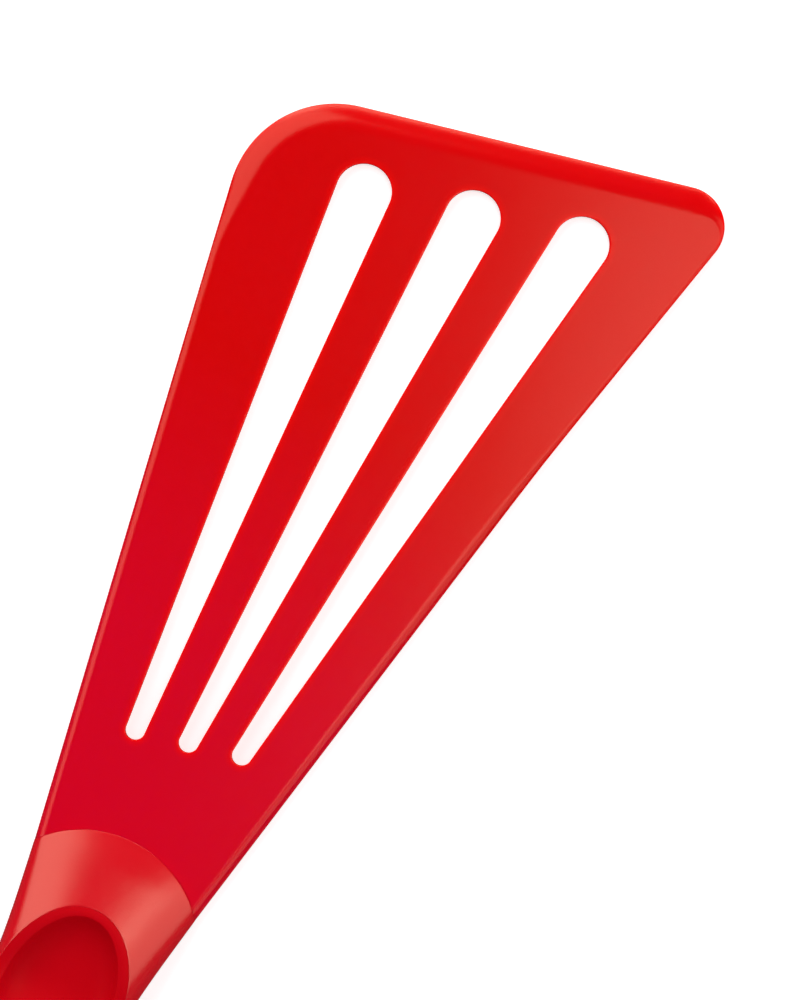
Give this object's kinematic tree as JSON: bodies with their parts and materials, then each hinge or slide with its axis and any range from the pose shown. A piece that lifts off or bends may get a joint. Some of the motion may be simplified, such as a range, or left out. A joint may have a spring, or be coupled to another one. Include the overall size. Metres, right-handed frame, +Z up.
{
  "type": "slotted turner",
  "caption": "Slotted kitchen turner: a thin flared soft blade with tapered slots and a skewed leading edge, on an upswept hollow handle with a dished thumb pad.",
  "frame": {"origin": "on the flat underside of the blade's neck, on the tool's axis, 14.5 mm ahead of the handle's mouth", "axes": "+Y along the tool towards the leading edge, +X across the blade towards its sharp corner, +Z up from the underside, the way the thumb pad faces"},
  "size_m": [0.0862, 0.3195, 0.0335],
  "materials": {
    "blade_red": "satin",
    "handle_red": "satin",
    "pad_red": "satin",
    "steel": "brushed"
  },
  "bodies": {
    "root": {"blade_skin": "blade_red", "blade_core": "steel", "handle_top_shell": "handle_red", "handle_bottom_shell": "handle_red", "thumb_pad": "pad_red", "tang_pin_front": "steel", "tang_pin_rear": "steel"}
  },
  "joints": []
}
